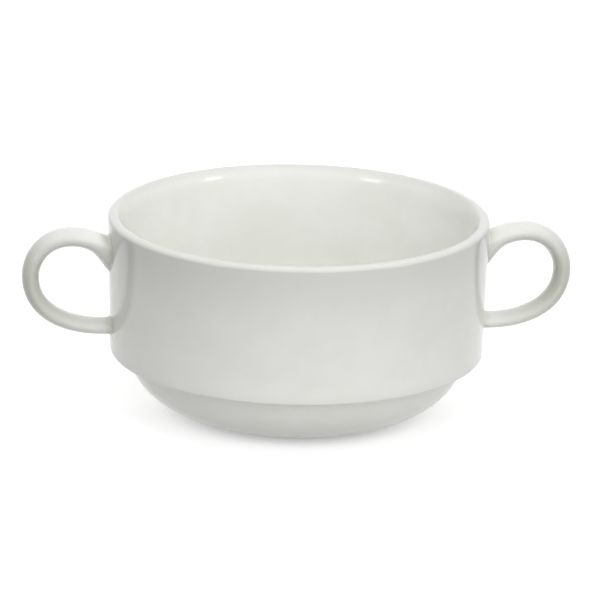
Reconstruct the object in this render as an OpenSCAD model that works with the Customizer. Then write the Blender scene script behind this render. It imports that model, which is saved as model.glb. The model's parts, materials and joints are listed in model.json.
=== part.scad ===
// A stacking consomme bowl in glazed white porcelain: a round bowl turned in one piece with
// its foot ring, and two strap handles, each cast by itself and stuck to the wall at an upper
// and a lower root with a thin bed of slip that is wiped into a fillet round the root.
// The bowl stands on z = 0 with its axis on Z, and the handles reach out along X.

/* [Bowl] */
// Outer diameter of the rim
rim_d = 105; // [90:1:125]
// Height from the table to the top of the rim
bowl_h = 55.6; // [50:0.2:68]
// Thickness of the wall at the foot of the rim's round
rim_t = 4; // [3.2:0.1:5]
// Distance from the outer face of the rim to its crest
rim_crest = 2; // [1.2:0.1:2.6]
// Depth below the crest to which the oval round outside the rim reaches
crest_h = 1.3; // [0.8:0.1:2.5]
// Depth below the crest to which the oval round inside the rim reaches
lip_h = 5.5; // [3:0.1:8]
// How far the wall draws in on the radius from the rim to the shoulder
wall_taper = 0.9; // [0.2:0.1:3]
// Thickness of the straight wall below the rim
wall_t = 4; // [3.2:0.1:5]

/* [Stacking ledge] */
// Height of the ledge that sits on the rim of the bowl below
ledge_h = 16.9; // [13:0.1:21]
// Radius of the shoulder where the wall turns in to the ledge
shoulder_round = 0.8; // [0.4:0.1:1.4]
// Radius of the fillet where the ledge turns down into the lower bowl
ledge_fillet = 0.9; // [0.4:0.1:1.4]
// Clearance on the radius between the lower bowl and the rim that it sits in
stack_gap = 1.7; // [1:0.1:3]
// Thickness left between the ledge corner and the inside of the bowl
ledge_t = 4; // [3:0.1:5]

/* [Lower bowl and foot] */
// Angle from the vertical at which the lower bowl leaves the ledge
belly_angle = 9.5; // [2:0.5:18]
// Fullness of the lower bowl below the ledge
belly_upper_pull = 0.69; // [0.5:0.01:0.8]
// Fullness of the lower bowl above the foot
belly_lower_pull = 0.42; // [0.3:0.01:0.6]
// Outer diameter of the foot ring
foot_d = 52; // [44:1:62]
// Height of the outer face of the foot ring
foot_h = 0.8; // [0.7:0.1:2]
// Width of the foot ring across its standing face and edges
foot_w = 3; // [2:0.1:5]
// Radius of the two edges of the foot ring
foot_round = 0.5; // [0.2:0.1:0.6]
// Height of the recess under the bowl inside the foot ring
recess_h = 2; // [1.6:0.1:3]
// Radius of the corner inside the recess
recess_round = 0.9; // [0.5:0.1:1.2]
// Thickness of the floor above the recess
floor_t = 4; // [3:0.1:6]

/* [Handles] */
// How far a handle reaches out from the rim
handle_reach = 23.7; // [18:0.1:30]
// Depth of the upper root below the rim, at the middle of the strap
upper_root_drop = 8.5; // [7:0.1:12]
// Height of the lower root above the ledge, at the middle of the strap
lower_root_rise = 7.5; // [6:0.1:11]
// Depth of the outermost point of the strap below its upper root
bend_drop = 8.1; // [5:0.1:11]
// Angle at which the strap climbs from its upper root
upper_angle = 26.5; // [5:0.5:40]
// Angle at which the strap leaves its lower root, negative when it dips
lower_angle = -3; // [-15:0.5:15]
// Reach of the arch from the upper root, as a share of the way out to the bend
arch_pull = 0.79; // [0.5:0.01:1]
// Reach of the lower arm from the lower root, as a share of the way out to the bend
arm_pull = 0.5; // [0.3:0.01:0.7]
// Roundness of the bend above the outermost point, as a share of the loop's height
bend_upper_pull = 0.28; // [0.15:0.01:0.5]
// Roundness of the bend below the outermost point, as a share of the loop's height
bend_lower_pull = 0.48; // [0.3:0.01:0.7]
// Thickness of the strap at its upper end
strap_upper_t = 5.1; // [4:0.1:6.5]
// Thickness of the strap at its lower end
strap_lower_t = 4.4; // [3.4:0.1:5.5]
// Width of the strap at its upper end
strap_upper_w = 9.6; // [7:0.1:13]
// Width of the strap at its lower end
strap_lower_w = 7; // [6:0.1:11]
// Squareness of the strap's oval section: 2 is an ellipse, more is squarer, less has narrower edges
strap_squareness = 1.9; // [1.5:0.1:4]
// Distance off the wall at which a root has lost half of its spread
root_len = 2.2; // [1.6:0.1:3.5]
// How far the upper root spreads downwards at the wall
root_drop = 4.4; // [2:0.1:6]
// How far a root spreads to each side at the wall
root_side = 0.6; // [0:0.1:2]

/* [Slip joints] */
// Thickness of the bed of slip between a root and the wall
slip_t = 0.3; // [0.2:0.05:0.5]
// Radius of the slip fillet round a root
slip_fillet = 0.9; // [0.7:0.05:1.3]

/* [Hidden] */

glaze_white = [0.87, 0.87, 0.83];
slip_white = [0.83, 0.83, 0.79];

// Radii and heights of the bowl that follow from the sizes above
rim_r = rim_d / 2;
shoulder_r = rim_r - wall_taper;
wall_top = bowl_h - crest_h;
wall_bottom = ledge_h + shoulder_round;
wall_slope = wall_taper / (wall_top - wall_bottom);
seat_r = rim_r - rim_t - stack_gap;
foot_r = foot_d / 2;
floor_h = recess_h + floor_t;
belly_top = ledge_h - ledge_fillet * (1 - sin(belly_angle));
recess_r = foot_r - foot_w;
recess_fillet = min(recess_round, 0.8 * (recess_h - foot_round));
lip_in = rim_t - rim_crest;

// Radius of the outer wall at a height
function wall_r(z) = shoulder_r + wall_slope * (z - wall_bottom);

// The inside is one round sweep that touches the straight inner wall and the floor and leaves
// ledge_t at the ledge corner: its radius is the larger root of a quadratic
inner_foot_r = wall_r(floor_h) - wall_t;
lean = sqrt(1 + wall_slope * wall_slope) - wall_slope;
corner_out = seat_r - inner_foot_r;
corner_up = ledge_h - floor_h;
sweep_b = corner_up + ledge_t - corner_out * lean;
sweep_c = corner_out * corner_out + corner_up * corner_up - ledge_t * ledge_t;
sweep_r = (sweep_b + sqrt(sweep_b * sweep_b - lean * lean * sweep_c)) / (lean * lean);
sweep_x = inner_foot_r - sweep_r * lean;
sweep_z = floor_h + sweep_r;

// Points of part of an oval, r wide and h high, from one angle to another, and of an arc
arc_steps = 6;
function oval(x, z, r, h, from, to, steps, first = 0) = [
    for (i = [first:steps]) let (a = from + (to - from) * i / steps) [x + r * cos(a), z + h * sin(a)]
];
function arc(x, z, r, from, to, steps = arc_steps) = oval(x, z, r, r, from, to, steps);

// A cubic curve through four control points, and its direction
function curve(p, t) =
    pow(1 - t, 3) * p[0] + 3 * t * pow(1 - t, 2) * p[1] + 3 * t * t * (1 - t) * p[2] + pow(t, 3) * p[3];
function curve_slope(p, t) =
    pow(1 - t, 2) * (p[1] - p[0]) + 2 * t * (1 - t) * (p[2] - p[1]) + t * t * (p[3] - p[2]);

// A direction in the XZ plane at an angle above the X axis
function heading(angle) = [cos(angle), sin(angle)];

// The half section of the bowl, from the middle of the recess round the outside to the floor
belly_steps = 18;
crest_steps = 8;
lip_steps = 10;
sweep_steps = 20;
belly = [
    [seat_r, belly_top],
    [seat_r, belly_top] - belly_upper_pull * (belly_top - foot_h) * heading(90 - belly_angle),
    [foot_r + belly_lower_pull * (seat_r - foot_r), foot_h],
    [foot_r, foot_h]
];
fillet_x = seat_r + ledge_fillet * cos(belly_angle);
bowl_section = concat(
    [[0, recess_h]],
    arc(recess_r - recess_fillet, recess_h - recess_fillet, recess_fillet, 90, 0),
    arc(recess_r + foot_round, foot_round, foot_round, 180, 270),
    arc(foot_r - foot_round, foot_round, foot_round, 270, 360),
    [for (i = [0:belly_steps - 1]) curve(belly, 1 - i / belly_steps)],
    arc(fillet_x, ledge_h - ledge_fillet, ledge_fillet, 180 - belly_angle, 90),
    arc(shoulder_r - shoulder_round, wall_bottom, shoulder_round, 270, 360),
    oval(rim_r - rim_crest, wall_top, rim_crest, crest_h, 0, 90, crest_steps),
    oval(rim_r - rim_crest, bowl_h - lip_h, lip_in, lip_h, 90, 180, lip_steps, first = 1),
    arc(sweep_x, sweep_z, sweep_r, -atan(wall_slope), -90, sweep_steps),
    [[0, floor_h]]
);

module bowl_body() {
    color(glaze_white)
        rotate_extrude($fn = 160)
            polygon(bowl_section);
}

// The middle line of a handle in the XZ plane: an upper curve from the upper root to the
// outermost point and a lower curve from there to the lower root
upper_z = bowl_h - upper_root_drop;
lower_z = ledge_h + lower_root_rise;
loop_h = upper_z - lower_z;
bend_t = (strap_upper_t + strap_lower_t) / 2;
bend = [rim_r + handle_reach - bend_t / 2, upper_z - bend_drop];
upper_root = [wall_r(upper_z), upper_z];
lower_root = [wall_r(lower_z), lower_z];
arch = [
    upper_root,
    upper_root + arch_pull * (bend[0] - upper_root[0]) * heading(upper_angle),
    bend + [0, bend_upper_pull * loop_h],
    bend
];
arm = [
    bend,
    bend - [0, bend_lower_pull * loop_h],
    lower_root + arm_pull * (bend[0] - lower_root[0]) * heading(lower_angle),
    lower_root
];

// Places along the middle line run from 0 at the upper root over 1 at the bend to 2
function strap_at(t) = t < 1 ? curve(arch, t) : curve(arm, t - 1);
function strap_slope(t) = t < 1 ? curve_slope(arch, t) : curve_slope(arm, t - 1);
function off_wall(t) = let (p = strap_at(t)) p[0] - wall_r(p[1]);

// The place at which the middle line is a distance off the wall, found by halving a stretch
// that starts near the wall and ends away from it
function place_off(d, near, far, halvings = 30) =
    let (mid = (near + far) / 2)
    halvings == 0 ? mid
    : off_wall(mid) < d ? place_off(d, mid, far, halvings - 1)
    : place_off(d, near, mid, halvings - 1);
function place(upper, d) = upper ? place_off(d, 0, 0.5) : place_off(d, 2, 1.5);

// Share of a root's spread that is left at a distance off the wall, 1 at the wall
spread_power = 3;
function spread(d) = 1 / (1 + pow(max(d, 0) / root_len, spread_power));

// Cosine or sine of a squared-up round section
function squared(v) = sign(v) * pow(abs(v), 2 / strap_squareness);

// One ring of points round the strap. Near the wall the ring turns upright, spreads and wraps
// to the round wall, so that the ring at the wall lies on it. Grow widens the ring all round
// and shrink draws it in towards its middle.
ring_sides = 24;
function ring(t, grow = 0, shrink = 1) =
    let (
        middle = strap_at(t),
        slope = strap_slope(t),
        near = spread(off_wall(t)),
        above = t < 1 ? 1 : -1,
        square_on = [-slope[1], slope[0]] / norm(slope),
        tilted = (1 - near) * square_on + near * [0, above],
        out = tilted / norm(tilted),
        thick = strap_upper_t + (strap_lower_t - strap_upper_t) * t / 2,
        wide = strap_upper_w + (strap_lower_w - strap_upper_w) * t / 2,
        outer_half = thick / 2 + grow,
        inner_half = thick / 2 + grow + (t < 1 ? root_drop * near : 0),
        side_half = wide / 2 + grow + root_side * near
    )
    [
        for (i = [0:ring_sides - 1])
            let (
                c = squared(cos(360 * i / ring_sides)),
                s = squared(sin(360 * i / ring_sides)),
                p = middle + shrink * c * (c > 0 ? outer_half : inner_half) * out,
                y = shrink * s * side_half,
                r = wall_r(p[1])
            )
            [p[0] + near * (sqrt(r * r - y * y) - middle[0] + off_wall(t)), y, p[1]]
    ];

// A closed solid skinned over rings, with a point at each end
module skin(rings, first_point, last_point) {
    n = ring_sides;
    last = len(rings) - 1;
    points = concat([for (r = rings) each r], [first_point, last_point]);
    tip = len(points) - 2;
    sides = [
        for (k = [0:last - 1], i = [0:n - 1])
            let (a = k * n + i, b = k * n + (i + 1) % n)
            each [[a, b, b + n], [a, b + n, a + n]]
    ];
    ends = [
        for (i = [0:n - 1])
            let (j = (i + 1) % n)
            each [[tip, j, i], [tip + 1, last * n + i, last * n + j]]
    ];
    polyhedron(points, concat(sides, ends));
}

function reversed(list) = [for (k = [len(list) - 1:-1:0]) list[k]];

// The end face of a root at a distance off the wall: its middle, and rings out to its edge
end_rings = 3;
function end_middle(upper, d) = ring(place(upper, d), 0, 0)[0];
function end_face(upper, d, grow = 0) = [
    for (k = [1:end_rings]) ring(place(upper, d), grow, k / end_rings)
];

// Distances off the wall of the rings that a root shares with the slip round it, from its end
// face to the top of the fillet, and of the rings over the rest of its spread
slip_bands = 2;
root_steps = 8;
root_zone = 2.5 * root_len;
bedded = [for (k = [0:slip_bands]) slip_t + (slip_fillet - slip_t) * k / slip_bands];
spreading = [for (k = [1:root_steps]) slip_fillet + (root_zone - slip_fillet) * k / root_steps];
function root_rings(upper) = concat(
    end_face(upper, slip_t),
    [for (k = [1:slip_bands]) ring(place(upper, bedded[k]))],
    [for (d = spreading) ring(place(upper, d))]
);

loop_steps = 12;
module handle() {
    leave = place(true, root_zone);
    arrive = place(false, root_zone);
    color(glaze_white)
        skin(
            concat(
                root_rings(true),
                [for (k = [1:loop_steps]) ring(leave + (1 - leave) * k / loop_steps)],
                [for (k = [1:loop_steps - 1]) ring(1 + (arrive - 1) * k / loop_steps)],
                reversed(root_rings(false))
            ),
            end_middle(true, slip_t),
            end_middle(false, slip_t)
        );
}

// The slip at a root: a bed on the wall under the end face, and a fillet from its thin edge on
// the wall up to the strap
fillet_steps = 3;
function slip_rings(upper) = concat(
    end_face(upper, 0, slip_fillet),
    [
        for (k = [1:fillet_steps])
            let (turn = 90 * k / fillet_steps)
            ring(place(upper, slip_fillet * (1 - cos(turn))), slip_fillet * (1 - sin(turn)))
    ],
    [for (k = [slip_bands - 1:-1:1]) ring(place(upper, bedded[k]))],
    reversed(end_face(upper, slip_t))
);

module upper_slip_joint() {
    color(slip_white)
        skin(slip_rings(true), end_middle(true, 0), end_middle(true, slip_t));
}

module lower_slip_joint() {
    color(slip_white)
        skin(reversed(slip_rings(false)), end_middle(false, slip_t), end_middle(false, 0));
}

// The right side is as drawn, and the left side is the same turned half round the bowl
module left() {
    rotate([0, 0, 180])
        children();
}

module right_handle() handle();
module right_upper_slip_joint() upper_slip_joint();
module right_lower_slip_joint() lower_slip_joint();
module left_handle() left() handle();
module left_upper_slip_joint() left() upper_slip_joint();
module left_lower_slip_joint() left() lower_slip_joint();

bowl_body();
left_handle();
right_handle();
left_upper_slip_joint();
left_lower_slip_joint();
right_upper_slip_joint();
right_lower_slip_joint();
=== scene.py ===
"""A stacking consomme bowl in glazed white porcelain, dressed for a plain studio.

The frame gives the bowl's rim, height and ledge and the reach of its handles. The bowl, the two strap
handles and the slip fillets at their roots are drawn here as fine smooth meshes of the same form, and take
one procedural glaze. It runs thin on the rim's crest and the shoulder and leaves the ground foot ring bare.
Painted shade darkens it on the outer wall below the rim, on the handles' bends and their side to the finger
gap, and round the roots and in the recess, partly pooled glaze.
Lengths are metres, angles degrees.
"""

import json
import math

import bpy
import numpy as np
from mathutils import Matrix, Vector, kdtree


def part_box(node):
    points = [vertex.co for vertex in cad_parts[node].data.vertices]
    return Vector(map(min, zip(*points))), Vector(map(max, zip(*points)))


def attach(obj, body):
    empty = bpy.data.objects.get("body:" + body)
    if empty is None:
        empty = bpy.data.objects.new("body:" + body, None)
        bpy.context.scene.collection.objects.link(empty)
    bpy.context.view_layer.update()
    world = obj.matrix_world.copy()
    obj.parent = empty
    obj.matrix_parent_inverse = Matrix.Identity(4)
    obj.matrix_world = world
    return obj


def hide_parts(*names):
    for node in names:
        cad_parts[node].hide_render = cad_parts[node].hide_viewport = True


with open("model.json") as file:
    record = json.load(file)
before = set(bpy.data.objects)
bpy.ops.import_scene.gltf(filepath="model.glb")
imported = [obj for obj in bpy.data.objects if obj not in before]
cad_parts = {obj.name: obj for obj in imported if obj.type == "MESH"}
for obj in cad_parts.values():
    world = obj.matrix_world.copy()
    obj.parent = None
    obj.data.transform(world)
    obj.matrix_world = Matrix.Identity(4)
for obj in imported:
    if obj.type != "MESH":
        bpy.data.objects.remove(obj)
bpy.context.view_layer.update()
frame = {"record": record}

MM = 0.001

# Sizes that the frame gives
_, body_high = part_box("bowl_body")
_, handle_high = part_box("right_handle")
mounts = {m["name"]: m for m in frame["record"]["mounts"]}
RIM_R = body_high.x
BOWL_H = body_high.z
LEDGE_H = mounts["stacking_ledge"]["pos_m"][2]
HANDLE_OUT = handle_high.x

# The section of the bowl
RIM_T = 4 * MM
RIM_CREST = 2 * MM
CREST_H = 1.3 * MM
LIP_H = 5.5 * MM
WALL_TAPER = 0.9 * MM
WALL_T = 4 * MM
SHOULDER_ROUND = 0.8 * MM
LEDGE_FILLET = 0.9 * MM
STACK_GAP = 1.7 * MM
LEDGE_T = 4.0 * MM
BELLY_ANGLE = 9.5
BELLY_UPPER_PULL = 0.69
BELLY_LOWER_PULL = 0.42
FOOT_R = 26 * MM
FOOT_H = 0.8 * MM
FOOT_W = 3 * MM
FOOT_ROUND = 0.5 * MM
RECESS_H = 2 * MM
RECESS_ROUND = 0.9 * MM
FLOOR_T = 4 * MM

# The handles and the slip at their roots
UPPER_ROOT_DROP = 8.5 * MM
LOWER_ROOT_RISE = 7.5 * MM
BEND_DROP = 8.1 * MM
UPPER_ANGLE = 26.5
LOWER_ANGLE = -3
ARCH_PULL = 0.79
ARM_PULL = 0.5
BEND_UPPER_PULL = 0.28
BEND_LOWER_PULL = 0.48
STRAP_UPPER_T = 5.1 * MM
STRAP_LOWER_T = 4.4 * MM
STRAP_UPPER_W = 9.6 * MM
STRAP_LOWER_W = 7 * MM
STRAP_SQUARENESS = 1.9
ROOT_LEN = 2.2 * MM
ROOT_ZONE = 2.5 * ROOT_LEN
ROOT_DROP = 4.4 * MM
ROOT_SIDE = 0.6 * MM
SPREAD_POWER = 3
SLIP_T = 0.3 * MM
SLIP_FILLET = 0.9 * MM

# How finely the meshes are drawn
TURN_STEPS = 288
ARC_STEPS = 12
LIP_STEPS = 24
BELLY_STEPS = 64
SWEEP_STEPS = 80
LINE_STEP = 1.2 * MM
RING_SIDES = 72
ROOT_STEPS = 30
LOOP_STEPS = 56
LINE_SAMPLES = 4 * LOOP_STEPS
FILLET_STEPS = 14
BED_SHARES = (0.4, 0.8)
TUCK = 0.02 * MM  # how far the slip goes into the wall and the strap
SAME_POINT = TUCK / 10
SHARP_ANGLE = 60

# Places on a handle's middle line between which each root lies, and how often that stretch is halved
UPPER_SEARCH = (-0.1, 0.5)
LOWER_SEARCH = (2.1, 1.5)
HALVINGS = 40

# Where the glaze is darker. Round the roots it is partly pooled glaze and partly painted shade. On the
# straps painted shade grows with the distance off the wall; outside it has one share at the bend and
# another on top of the arch. The glaze runs thin on the rim's crest and the shoulder, and painted shade
# lies on the outer wall below the rim.
POOL_AND_SHADE_REACH = 1.8 * MM
STRAP_SHADE_REACH = (2 * MM, 21 * MM)
STRAP_SHADE_OUTSIDE = (0.9, 0.2)
THIN_REACH = 1.7 * MM
SHOULDER_SHARE = 0.35
SHADE_UNDER_RIM_REACH = 11 * MM
SHADE_UNDER_RIM_SHARE = 0.8
BARE_TOP = 0.32 * MM
BARE_STEEPNESS = 3
ROUND_MIDDLE = 1 / 3  # from the corner of a round to its middle, as a share of its radius

# The camera, fitted to the photograph, which is 600 pixels square
CAMERA_TARGET = Vector((0, 0, 30.6 * MM))
CAMERA_DISTANCE = 1361 * MM
CAMERA_ELEVATION = 17.10
CAMERA_AZIMUTH = -6.99
CAMERA_ROLL = 1.198
IMAGE_SIDE = 600
FOCAL_PIXELS = 4922.2
TARGET_PIXEL = (297.19, 300.67)
SENSOR_WIDTH = 36


def bezier(points, t):
    """Points of a cubic curve at the places t, from its four control points."""
    p = np.asarray(points)
    t = np.atleast_1d(t)[:, None]
    return (1 - t) ** 3 * p[0] + 3 * t * (1 - t) ** 2 * p[1] + 3 * t**2 * (1 - t) * p[2] + t**3 * p[3]


def bezier_slope(points, t):
    """Directions of a cubic curve at the places t."""
    p = np.asarray(points)
    t = np.atleast_1d(t)[:, None]
    return (1 - t) ** 2 * (p[1] - p[0]) + 2 * t * (1 - t) * (p[2] - p[1]) + t**2 * (p[3] - p[2])


def arc(x, z, radius, start, end, steps=ARC_STEPS, height=None):
    """Points of an arc in the section between two angles, or of an oval that has a height of its own."""
    angles = np.radians(np.linspace(start, end, steps + 1))
    return np.column_stack([x + radius * np.cos(angles), z + (height or radius) * np.sin(angles)])


def heading(angle):
    """A direction in the section, at an angle above the horizontal."""
    return np.array([math.cos(math.radians(angle)), math.sin(math.radians(angle))])


# Radii and heights that follow from the sizes
SHOULDER_R = RIM_R - WALL_TAPER
WALL_TOP = BOWL_H - CREST_H
WALL_BOTTOM = LEDGE_H + SHOULDER_ROUND
WALL_SLOPE = WALL_TAPER / (WALL_TOP - WALL_BOTTOM)
SEAT_R = RIM_R - RIM_T - STACK_GAP
FLOOR_H = RECESS_H + FLOOR_T
RECESS_R = FOOT_R - FOOT_W
LIP_IN = RIM_T - RIM_CREST


def wall_r(z):
    """Radius of the outer wall at a height."""
    return SHOULDER_R + WALL_SLOPE * (z - WALL_BOTTOM)


def inside_sweep():
    """Radius and centre of the round sweep inside, which touches wall and floor and leaves LEDGE_T."""
    inner_foot_r = wall_r(FLOOR_H) - WALL_T
    lean = math.sqrt(1 + WALL_SLOPE**2) - WALL_SLOPE
    out = SEAT_R - inner_foot_r
    up = LEDGE_H - FLOOR_H
    b = up + LEDGE_T - out * lean
    c = out**2 + up**2 - LEDGE_T**2
    radius = (b + math.sqrt(b**2 - lean**2 * c)) / lean**2
    return radius, inner_foot_r - radius * lean, FLOOR_H + radius


def filled_in(points):
    """The section with its straight stretches divided, and points that repeat left out."""
    kept = [points[0]]
    for point in points[1:]:
        length = np.linalg.norm(point - kept[-1])
        if length < SAME_POINT:
            continue
        steps = max(1, round(length / LINE_STEP))
        start = kept[-1]
        kept += [start + (point - start) * k / steps for k in range(1, steps + 1)]
    return np.array(kept)


def bowl_section():
    """The bowl's half section, from the middle of the recess round the outside to the middle inside."""
    belly_top = LEDGE_H - LEDGE_FILLET * (1 - math.sin(math.radians(BELLY_ANGLE)))
    top = np.array([SEAT_R, belly_top])
    belly = [
        [FOOT_R, FOOT_H],
        [FOOT_R + BELLY_LOWER_PULL * (SEAT_R - FOOT_R), FOOT_H],
        top - BELLY_UPPER_PULL * (belly_top - FOOT_H) * heading(90 - BELLY_ANGLE),
        top,
    ]
    fillet_x = SEAT_R + LEDGE_FILLET * math.cos(math.radians(BELLY_ANGLE))
    sweep_r, sweep_x, sweep_z = inside_sweep()
    wall_angle = math.degrees(math.atan(WALL_SLOPE))
    return filled_in(np.vstack([
        [[0, RECESS_H]],
        arc(RECESS_R - RECESS_ROUND, RECESS_H - RECESS_ROUND, RECESS_ROUND, 90, 0),
        arc(RECESS_R + FOOT_ROUND, FOOT_ROUND, FOOT_ROUND, 180, 270),
        arc(FOOT_R - FOOT_ROUND, FOOT_ROUND, FOOT_ROUND, 270, 360),
        bezier(belly, np.linspace(0, 1, BELLY_STEPS + 1)),
        arc(fillet_x, LEDGE_H - LEDGE_FILLET, LEDGE_FILLET, 180 - BELLY_ANGLE, 90),
        arc(SHOULDER_R - SHOULDER_ROUND, WALL_BOTTOM, SHOULDER_ROUND, 270, 360),
        arc(RIM_R - RIM_CREST, WALL_TOP, RIM_CREST, 0, 90, LIP_STEPS, CREST_H),
        arc(RIM_R - RIM_CREST, BOWL_H - LIP_H, LIP_IN, 90, 180, LIP_STEPS, LIP_H),
        arc(sweep_x, sweep_z, sweep_r, -wall_angle, -90, SWEEP_STEPS),
        [[0, FLOOR_H]],
    ]))


# The middle line of a handle in the XZ plane, on the right side
UPPER_Z = BOWL_H - UPPER_ROOT_DROP
LOWER_Z = LEDGE_H + LOWER_ROOT_RISE
UPPER_ROOT = np.array([wall_r(UPPER_Z), UPPER_Z])
LOWER_ROOT = np.array([wall_r(LOWER_Z), LOWER_Z])
LOOP_H = UPPER_Z - LOWER_Z
BEND_T = (STRAP_UPPER_T + STRAP_LOWER_T) / 2
BEND = np.array([HANDLE_OUT - BEND_T / 2, UPPER_Z - BEND_DROP])
ARCH = [
    UPPER_ROOT,
    UPPER_ROOT + ARCH_PULL * (BEND[0] - UPPER_ROOT[0]) * heading(UPPER_ANGLE),
    BEND + [0, BEND_UPPER_PULL * LOOP_H],
    BEND,
]
ARM = [
    BEND,
    BEND - [0, BEND_LOWER_PULL * LOOP_H],
    LOWER_ROOT + ARM_PULL * (BEND[0] - LOWER_ROOT[0]) * heading(LOWER_ANGLE),
    LOWER_ROOT,
]


def strap_at(t):
    """Point and direction of the middle line at a place: 0 the upper root, 1 the bend, 2 the lower root."""
    curve, share = (ARCH, t) if t < 1 else (ARM, t - 1)
    slope = bezier_slope(curve, share)[0]
    return bezier(curve, share)[0], slope / np.linalg.norm(slope)


def off_wall(t):
    """Distance of the middle line off the wall."""
    point, _ = strap_at(t)
    return point[0] - wall_r(point[1])


def place(upper, distance):
    """The place near a root at which the middle line is a distance off the wall, found by halving."""
    near, far = UPPER_SEARCH if upper else LOWER_SEARCH
    for _ in range(HALVINGS):
        middle = (near + far) / 2
        if off_wall(middle) < distance:
            near = middle
        else:
            far = middle
    return (near + far) / 2


def squared(v):
    """Cosine or sine for the strap's section, which is an oval at a squareness of 2."""
    return np.sign(v) * np.abs(v) ** (2 / STRAP_SQUARENESS)


ROUND = np.linspace(0, 2 * math.pi, RING_SIDES, endpoint=False)


def strap_ring(t, grow=0.0, shrink=1.0):
    """One ring of points round the strap. Near the wall it turns upright, spreads and wraps to the wall."""
    middle, slope = strap_at(t)
    near = 1 / (1 + (max(off_wall(t), 0) / ROOT_LEN) ** SPREAD_POWER)
    above = 1 if t < 1 else -1
    out = (1 - near) * np.array([-slope[1], slope[0]]) + near * np.array([0, above])
    out /= np.linalg.norm(out)
    thick = STRAP_UPPER_T + (STRAP_LOWER_T - STRAP_UPPER_T) * t / 2
    wide = STRAP_UPPER_W + (STRAP_LOWER_W - STRAP_UPPER_W) * t / 2
    outer_half = thick / 2 + grow
    inner_half = outer_half + (ROOT_DROP * near if t < 1 else 0)
    side_half = wide / 2 + grow + ROOT_SIDE * near
    c, s = squared(np.cos(ROUND)), squared(np.sin(ROUND))
    section = middle + shrink * (c * np.where(c > 0, outer_half, inner_half))[:, None] * out
    y = shrink * s * side_half
    wrap = np.sqrt(wall_r(section[:, 1]) ** 2 - y**2) - wall_r(middle[1])
    return np.column_stack([section[:, 0] + near * (wrap - section[:, 0] + middle[0]), y, section[:, 1]])


def join_rings(rings, first_point, last_point):
    """Vertices and faces of a closed skin over rings, with a point at each end."""
    n = len(rings[0])
    last = (len(rings) - 1) * n
    vertices = np.vstack([*rings, first_point, last_point])
    tip = len(vertices) - 2
    faces = []
    for start in range(0, last, n):
        for i in range(n):
            j = (i + 1) % n
            faces.append((start + i, start + j, start + n + j, start + n + i))
    for i in range(n):
        j = (i + 1) % n
        faces.append((tip, j, i))
        faces.append((tip + 1, last + i, last + j))
    return vertices, faces


def revolve(section):
    """Vertices and faces of a closed solid that a half section sweeps round Z, from pole to pole."""
    turn = np.linspace(0, 2 * math.pi, TURN_STEPS, endpoint=False)
    rings = [
        np.column_stack([r * np.cos(turn), r * np.sin(turn), np.full(TURN_STEPS, z)])
        for r, z in section[1:-1]
    ]
    return join_rings(rings, [0, 0, section[0][1]], [0, 0, section[-1][1]])


def handle_rings():
    """Rings of the strap from its upper end face, round the loop, to its lower end face."""
    distances = SLIP_T + (ROOT_ZONE - SLIP_T) * np.linspace(0, 1, ROOT_STEPS)
    leave, arrive = place(True, ROOT_ZONE), place(False, ROOT_ZONE)
    places = [place(True, d) for d in distances[:-1]]
    places += list(np.linspace(leave, 1, LOOP_STEPS))
    places += list(np.linspace(1, arrive, LOOP_STEPS))[1:]
    places += [place(False, d) for d in distances[-2::-1]]
    return [strap_ring(t) for t in places]


def slip_rings(upper):
    """Rings of the slip at a root: its bed on the wall, the fillet, and its top under the strap."""
    turns = math.pi / 4 * (1 - np.cos(np.linspace(0, math.pi, FILLET_STEPS)))
    bed, top = place(upper, -TUCK), place(upper, SLIP_T)
    rings = [strap_ring(bed, SLIP_FILLET, share) for share in BED_SHARES]
    rings += [
        strap_ring(
            place(upper, SLIP_FILLET * (1 - math.cos(turn)) - TUCK * math.cos(turn)),
            SLIP_FILLET * (1 - math.sin(turn)) - TUCK * math.sin(turn),
        )
        for turn in turns
    ]
    rings += [strap_ring(top, -2 * TUCK, share) for share in (1.0, *reversed(BED_SHARES))]
    ends = [strap_ring(t, 0, 0)[0] for t in (bed, top)]
    return rings, ends


def turned(points, side):
    """The points as they are on the right side, or turned half round the bowl for the left."""
    return np.asarray(points) * ([1, 1, 1] if side == "right" else [-1, -1, 1])


def root_outline():
    """Points along the foot of the slip fillets at all four roots."""
    feet = [strap_ring(place(upper, 0), SLIP_FILLET / 2) for upper in (True, False)]
    return np.vstack([turned(foot, side) for foot in feet for side in ("left", "right")])


def distance_to(points, outline):
    """Distance from each point to the nearest of the outline's points."""
    tree = kdtree.KDTree(len(outline))
    for index, point in enumerate(outline):
        tree.insert(point, index)
    tree.balance()
    return np.array([tree.find(point)[2] for point in points])


def circle_distance(points, radius, height):
    """Distance from each point to a level circle round the axis."""
    return np.hypot(np.hypot(points[:, 0], points[:, 1]) - radius, points[:, 2] - height)


ROOT_OUTLINE = root_outline()


def pooled_glaze_and_shade(points):
    """1 round the roots and in the corner of the recess, falling to 0: partly pooled glaze, partly painted
    shade.
    """
    corner_in = RECESS_ROUND * ROUND_MIDDLE
    distances = [
        distance_to(points, ROOT_OUTLINE),
        circle_distance(points, RECESS_R - corner_in, RECESS_H - corner_in),
    ]
    return np.exp(-((np.min(distances, axis=0) / POOL_AND_SHADE_REACH) ** 2))


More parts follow.
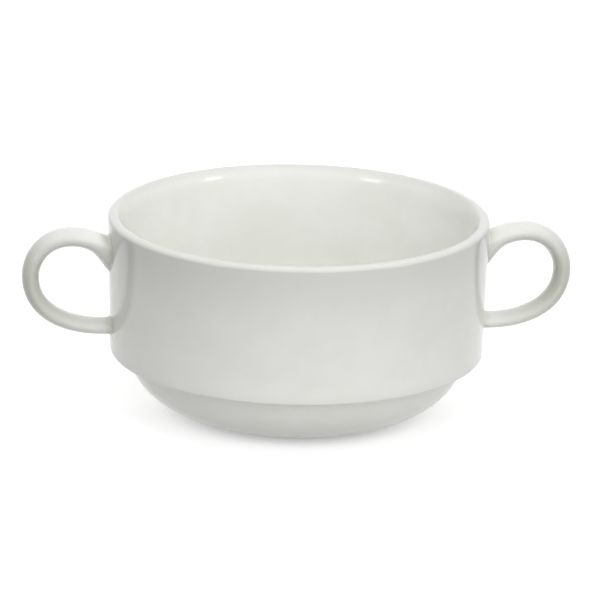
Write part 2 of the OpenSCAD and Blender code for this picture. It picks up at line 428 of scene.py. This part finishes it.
def glaze_thin(points):
    """1 on the rim's crest and less on the shoulder, where the glaze runs thin, and painted shade on the
    outer wall under the rim.
    """
    shoulder_in = SHOULDER_ROUND * ROUND_MIDDLE
    edges = [
        share * np.exp(-((circle_distance(points, radius, height) / THIN_REACH) ** 2))
        for share, radius, height in (
            (1, RIM_R - RIM_CREST, BOWL_H),
            (SHOULDER_SHARE, SHOULDER_R - shoulder_in, LEDGE_H + shoulder_in),
        )
    ]
    off_face = np.hypot(points[:, 0], points[:, 1]) - wall_r(points[:, 2])
    outside = np.clip(1 + off_face / RIM_CREST, 0, 1) * (off_face < SLIP_T)
    # painted shade on the outer wall, darkest just below the rim
    shade_under_rim = SHADE_UNDER_RIM_SHARE * outside * np.exp(-(((BOWL_H - points[:, 2]) / SHADE_UNDER_RIM_REACH) ** 2))
    return np.max([*edges, shade_under_rim], axis=0)


def strap_painted_shade(points):
    """Painted shade on a strap: 1 on its side to the finger gap, less outside and on top, falling to 0
    towards the roots.
    """
    out, z = np.hypot(points[:, 0], points[:, 1]), points[:, 2]
    line = np.array([strap_at(t)[0] for t in np.linspace(0, 2, LINE_SAMPLES)])
    nearest = np.argmin(np.hypot(out[:, None] - line[:, 0], z[:, None] - line[:, 1]), axis=1)
    gap = line.mean(axis=0) - line[nearest]
    along = (out - line[nearest, 0]) * gap[:, 0] + (z - line[nearest, 1]) * gap[:, 1]
    inward = along / np.linalg.norm(gap, axis=1)
    off = np.interp(out - wall_r(z), STRAP_SHADE_REACH, (0, 1))
    outside = np.interp(z, (BEND[1], UPPER_Z + STRAP_UPPER_T), STRAP_SHADE_OUTSIDE)
    return off * (outside + (1 - outside) * np.clip(inward / (STRAP_LOWER_T / 2), 0, 1))


def bare_clay(points):
    """1 on the ground standing face of the foot ring, which has no glaze, and 0 above its edges."""
    return np.clip((BARE_TOP - points[:, 2]) / BARE_TOP * BARE_STEEPNESS, 0, 1)


GLAZE_AND_SHADE_LAYERS = {"pool_and_shade": pooled_glaze_and_shade, "strap": strap_painted_shade, "thin": glaze_thin, "bare": bare_clay}


def make_piece(name, vertices, faces, material, slot):
    """A smooth mesh that stands for the CAD node of that name, with the glaze's layers and its painted
    shade as attributes.
    """
    mesh = bpy.data.meshes.new(name)
    mesh.from_pydata(vertices.tolist(), [], faces)
    for attribute, layer in GLAZE_AND_SHADE_LAYERS.items():
        values = layer(vertices).astype(np.float32)
        mesh.attributes.new(attribute, "FLOAT", "POINT").data.foreach_set("value", values)
    mesh.shade_smooth()
    mesh.set_sharp_from_angle(angle=math.radians(SHARP_ANGLE))
    mesh.materials.append(material)
    piece = bpy.data.objects.new(name + "_glazed", mesh)
    bpy.context.scene.collection.objects.link(piece)
    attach(piece, "root")
    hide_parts(name)


def node_of(tree, kind, **settings):
    """A new shader node. Settings name its properties, or its inputs with spaces as underscores."""
    node = tree.nodes.new(kind)
    for key, value in settings.items():
        if hasattr(node, key):
            setattr(node, key, value)
        else:
            node.inputs[key.replace("_", " ")].default_value = value
    return node


# The glaze's colours, some of which carry painted shade
GLAZE = (0.892, 0.895, 0.862, 1)
GLAZE_CLOUD = (0.858, 0.861, 0.820, 1)
# painted shade round the roots and in the recess's corner, partly pooled glaze
GLAZE_POOLED_AND_SHADED = (0.73, 0.74, 0.66, 1)
# thin glaze on the crest and shoulder, and painted shade on the outer wall below the rim
GLAZE_THINNED_AND_SHADED = (0.755, 0.755, 0.72, 1)
# painted shade on the handles, darkest on their bends and their side to the finger gap
PAINTED_SHADE_ON_STRAPS = (0.63, 0.64, 0.565, 1)
BARE_CLAY = (0.80, 0.78, 0.73, 1)

# Noises: scale per metre, detail and, for the clouds, roughness
CLOUD_NOISE = (70, 6, 0.65)
CLOUD_RANGE = (0.32, 0.68)
GLOSS_NOISE = (160, 4)
GLOSS_RANGE = (0.3, 0.7)
GLAZE_ROUGHNESS = (0.10, 0.16)
BARE_ROUGHNESS = 0.75
PEEL_NOISE = (320, 2)
PEEL_STRENGTH = 0.35
PEEL_DEPTH = 0.02 * MM

# The Mix node's sockets share their names, so they are picked by number: two inputs and the output
COLOUR_SOCKETS = (6, 7, 2)
FLOAT_SOCKETS = (2, 3, 0)


def mix_colour(tree, factor, first, second):
    """A colour mixed by a linked factor. Either colour may be a link or a constant."""
    node = node_of(tree, "ShaderNodeMix", data_type="RGBA")
    tree.links.new(factor, node.inputs["Factor"])
    first_in, second_in, result = COLOUR_SOCKETS
    for socket, colour in ((node.inputs[first_in], first), (node.inputs[second_in], second)):
        if isinstance(colour, tuple):
            socket.default_value = colour
        else:
            tree.links.new(colour, socket)
    return node.outputs[result]


def ranged(tree, value, low, high, to_low=0.0, to_high=1.0):
    """A linked value taken smoothly from one range to another."""
    node = node_of(tree, "ShaderNodeMapRange", interpolation_type="SMOOTHSTEP")
    tree.links.new(value, node.inputs["Value"])
    for name, number in (("From Min", low), ("From Max", high), ("To Min", to_low), ("To Max", to_high)):
        node.inputs[name].default_value = number
    return node.outputs["Result"]


def glaze_material():
    """Glossy clear glaze over white porcelain, faintly cloudy and rippled, and bare on the foot."""
    material = bpy.data.materials.new("porcelain_glaze")
    material.use_nodes = True
    tree = material.node_tree
    shader = tree.nodes["Principled BSDF"]
    where = node_of(tree, "ShaderNodeTexCoord").outputs["Object"]
    layers = {
        name: node_of(tree, "ShaderNodeAttribute", attribute_name=name).outputs["Fac"]
        for name in GLAZE_AND_SHADE_LAYERS
    }

    def noise(scale, detail, roughness=0.5):
        node = node_of(tree, "ShaderNodeTexNoise", Scale=scale, Detail=detail, Roughness=roughness)
        tree.links.new(where, node.inputs["Vector"])
        return node.outputs["Fac"]

    cloud = ranged(tree, noise(*CLOUD_NOISE), *CLOUD_RANGE)
    colour = mix_colour(tree, cloud, GLAZE, GLAZE_CLOUD)
    # darker where the glaze runs thin, and painted shade on the outer wall below the rim
    colour = mix_colour(tree, layers["thin"], colour, GLAZE_THINNED_AND_SHADED)
    # painted shade on the handles, most on their bends and their side to the finger gap
    colour = mix_colour(tree, layers["strap"], colour, PAINTED_SHADE_ON_STRAPS)
    # darker round the roots and in the recess's corner: partly pooled glaze, partly painted shade
    colour = mix_colour(tree, layers["pool_and_shade"], colour, GLAZE_POOLED_AND_SHADED)
    colour = mix_colour(tree, layers["bare"], colour, BARE_CLAY)
    tree.links.new(colour, shader.inputs["Base Color"])

    gloss = ranged(tree, noise(*GLOSS_NOISE), *GLOSS_RANGE, *GLAZE_ROUGHNESS)
    rough = node_of(tree, "ShaderNodeMix", data_type="FLOAT")
    glazed_in, bare_in, result = FLOAT_SOCKETS
    tree.links.new(layers["bare"], rough.inputs["Factor"])
    tree.links.new(gloss, rough.inputs[glazed_in])
    rough.inputs[bare_in].default_value = BARE_ROUGHNESS
    tree.links.new(rough.outputs[result], shader.inputs["Roughness"])

    peel = node_of(tree, "ShaderNodeBump", Strength=PEEL_STRENGTH, Distance=PEEL_DEPTH)
    tree.links.new(noise(*PEEL_NOISE), peel.inputs["Height"])
    tree.links.new(peel.outputs["Normal"], shader.inputs["Normal"])
    return material


def make_bowl(material):
    """The bowl, with each handle and the slip at its roots."""
    make_piece("bowl_body", *revolve(bowl_section()), material, "glazed_porcelain")
    rings = handle_rings()
    ends = [strap_ring(place(upper, SLIP_T), 0, 0)[0] for upper in (True, False)]
    strap, strap_faces = join_rings(rings, *ends)
    for side in ("left", "right"):
        make_piece(f"{side}_handle", turned(strap, side), strap_faces, material, "glazed_porcelain")
        for root, upper in (("upper", True), ("lower", False)):
            fillet, middles = slip_rings(upper)
            points, faces = join_rings(fillet, *middles)
            make_piece(f"{side}_{root}_slip_joint", turned(points, side), faces, material, "glazed_slip")


def aim(obj, position, target):
    """Puts an object somewhere and points its -Z axis at a target."""
    obj.location = position
    obj.rotation_mode = "QUATERNION"
    obj.rotation_quaternion = (Vector(target) - Vector(position)).to_track_quat("-Z", "Y")


def direction(azimuth, elevation):
    """The way out from the bowl, by an azimuth to the right of the front and an elevation."""
    a, e = math.radians(azimuth), math.radians(elevation)
    return Vector((math.sin(a) * math.cos(e), -math.cos(a) * math.cos(e), math.sin(e)))


def make_camera():
    """The camera of the photograph: its shift puts the target on the target's pixel."""
    data = bpy.data.cameras.new("camera")
    data.sensor_width = SENSOR_WIDTH
    data.lens = SENSOR_WIDTH * FOCAL_PIXELS / IMAGE_SIDE
    data.shift_x = 0.5 - TARGET_PIXEL[0] / IMAGE_SIDE
    data.shift_y = TARGET_PIXEL[1] / IMAGE_SIDE - 0.5
    camera = bpy.data.objects.new("camera", data)
    bpy.context.scene.collection.objects.link(camera)
    back = direction(CAMERA_AZIMUTH, CAMERA_ELEVATION)
    aim(camera, CAMERA_TARGET + back * CAMERA_DISTANCE, CAMERA_TARGET)
    roll = Matrix.Rotation(math.radians(CAMERA_ROLL), 4, "Z").to_quaternion()
    camera.rotation_quaternion = camera.rotation_quaternion @ roll
    bpy.context.scene.camera = camera


# Lamps: name, azimuth to the right of the front, elevation, width, height, power in watts, and whether the
# glaze mirrors it, which the two side boxes do
LAMPS = [
    ("front", 11, 38, 0.6, 0.5, 3.25, False),
    ("front_low", 11, 10, 0.5, 0.5, 2.6, False),
    ("right", 53, 12, 0.22, 0.20, 0.9, True),
    ("left", -55, 12, 0.26, 0.20, 0.9, True),
    ("back_right", 118, 60, 0.5, 0.5, 1.9, False),
    ("back_left", -108, 55, 0.5, 0.5, 1.8, False),
    ("back", 180, 18, 0.6, 0.5, 4.2, False),
    ("top", 0, 80, 0.8, 0.8, 2.2, False),
]
LAMP_TARGET = (0, 0, 30 * MM)
LAMP_DISTANCE = 1.1


def make_lamps():
    """Soft lamps that the camera doesn't see."""
    for name, azimuth, elevation, width, height, power, mirrored in LAMPS:
        data = bpy.data.lights.new(name, "AREA")
        data.shape = "RECTANGLE"
        data.size, data.size_y = width, height
        data.energy = power
        lamp = bpy.data.objects.new(name, data)
        bpy.context.scene.collection.objects.link(lamp)
        aim(lamp, Vector(LAMP_TARGET) + direction(azimuth, elevation) * LAMP_DISTANCE, LAMP_TARGET)
        lamp.visible_camera = False
        lamp.visible_glossy = mirrored


# The floor has one colour as it is seen and another, near the bowl, as it lights the bowl from below.
# Its glow turns it white where it is seen, and fades out under the bowl, so a ring round the foot stays
# darker whatever the
# light: a painted contact shadow over the real one.
WHITE = (1, 1, 1, 1)
BLACK = (0, 0, 0, 1)
WORLD_LIGHT = 0.27
FLOOR_SIDE = 8.0
FLOOR_COLOUR = (0.46, 0.46, 0.46, 1)
FLOOR_GLOW = 0.72
TABLE_COLOUR = (0.58, 0.58, 0.57, 1)
TABLE_EDGE = (0.10, 0.15)
CONTACT_EDGE = (0.016, 0.040)


def seen_directly(tree):
    """1 for rays from the camera and for those that a gloss or a glass passes on, else 0."""
    path = node_of(tree, "ShaderNodeLightPath")
    seen = path.outputs["Is Camera Ray"]
    for kind in ("Is Glossy Ray", "Is Transmission Ray"):
        either = node_of(tree, "ShaderNodeMath", operation="MAXIMUM")
        tree.links.new(seen, either.inputs[0])
        tree.links.new(path.outputs[kind], either.inputs[1])
        seen = either.outputs[0]
    return seen


def make_world():
    """A white background that lights the object at a plain level."""
    world = bpy.data.worlds.new("studio")
    bpy.context.scene.world = world
    world.use_nodes = True
    tree = world.node_tree
    background = tree.nodes["Background"]
    background.inputs["Color"].default_value = WHITE
    strength = node_of(tree, "ShaderNodeMapRange", To_Min=WORLD_LIGHT, To_Max=1.0)
    tree.links.new(seen_directly(tree), strength.inputs["Value"])
    tree.links.new(strength.outputs["Result"], background.inputs["Strength"])


def make_floor():
    """A pale level floor that keeps a soft shadow and is white where no shadow falls."""
    mesh = bpy.data.meshes.new("floor")
    half = FLOOR_SIDE / 2
    corners = [(-half, -half, 0), (half, -half, 0), (half, half, 0), (-half, half, 0)]
    mesh.from_pydata(corners, [], [(0, 1, 2, 3)])
    material = bpy.data.materials.new("floor")
    material.use_nodes = True
    tree = material.node_tree
    tree.nodes.clear()
    seen = seen_directly(tree)
    from_middle = node_of(tree, "ShaderNodeVectorMath", operation="LENGTH")
    tree.links.new(node_of(tree, "ShaderNodeTexCoord").outputs["Object"], from_middle.inputs[0])
    near = ranged(tree, from_middle.outputs["Value"], *TABLE_EDGE, 1.0, 0.0)
    table = mix_colour(tree, near, BLACK, TABLE_COLOUR)
    diffuse = node_of(tree, "ShaderNodeBsdfDiffuse")
    tree.links.new(mix_colour(tree, seen, table, FLOOR_COLOUR), diffuse.inputs["Color"])
    glow = node_of(tree, "ShaderNodeEmission", Color=WHITE)
    strength = node_of(tree, "ShaderNodeMath", operation="MULTIPLY")
    fade = ranged(tree, from_middle.outputs["Value"], *CONTACT_EDGE, 0.0, FLOOR_GLOW)
    tree.links.new(seen, strength.inputs[0])
    tree.links.new(fade, strength.inputs[1])
    tree.links.new(strength.outputs[0], glow.inputs["Strength"])
    mixed = node_of(tree, "ShaderNodeAddShader")
    tree.links.new(diffuse.outputs[0], mixed.inputs[0])
    tree.links.new(glow.outputs[0], mixed.inputs[1])
    output = node_of(tree, "ShaderNodeOutputMaterial")
    tree.links.new(mixed.outputs[0], output.inputs["Surface"])
    mesh.materials.append(material)
    floor = bpy.data.objects.new("floor", mesh)
    bpy.context.scene.collection.objects.link(floor)


make_bowl(glaze_material())
make_camera()
make_lamps()
make_world()
make_floor()
bpy.context.scene.view_settings.view_transform = "Standard"
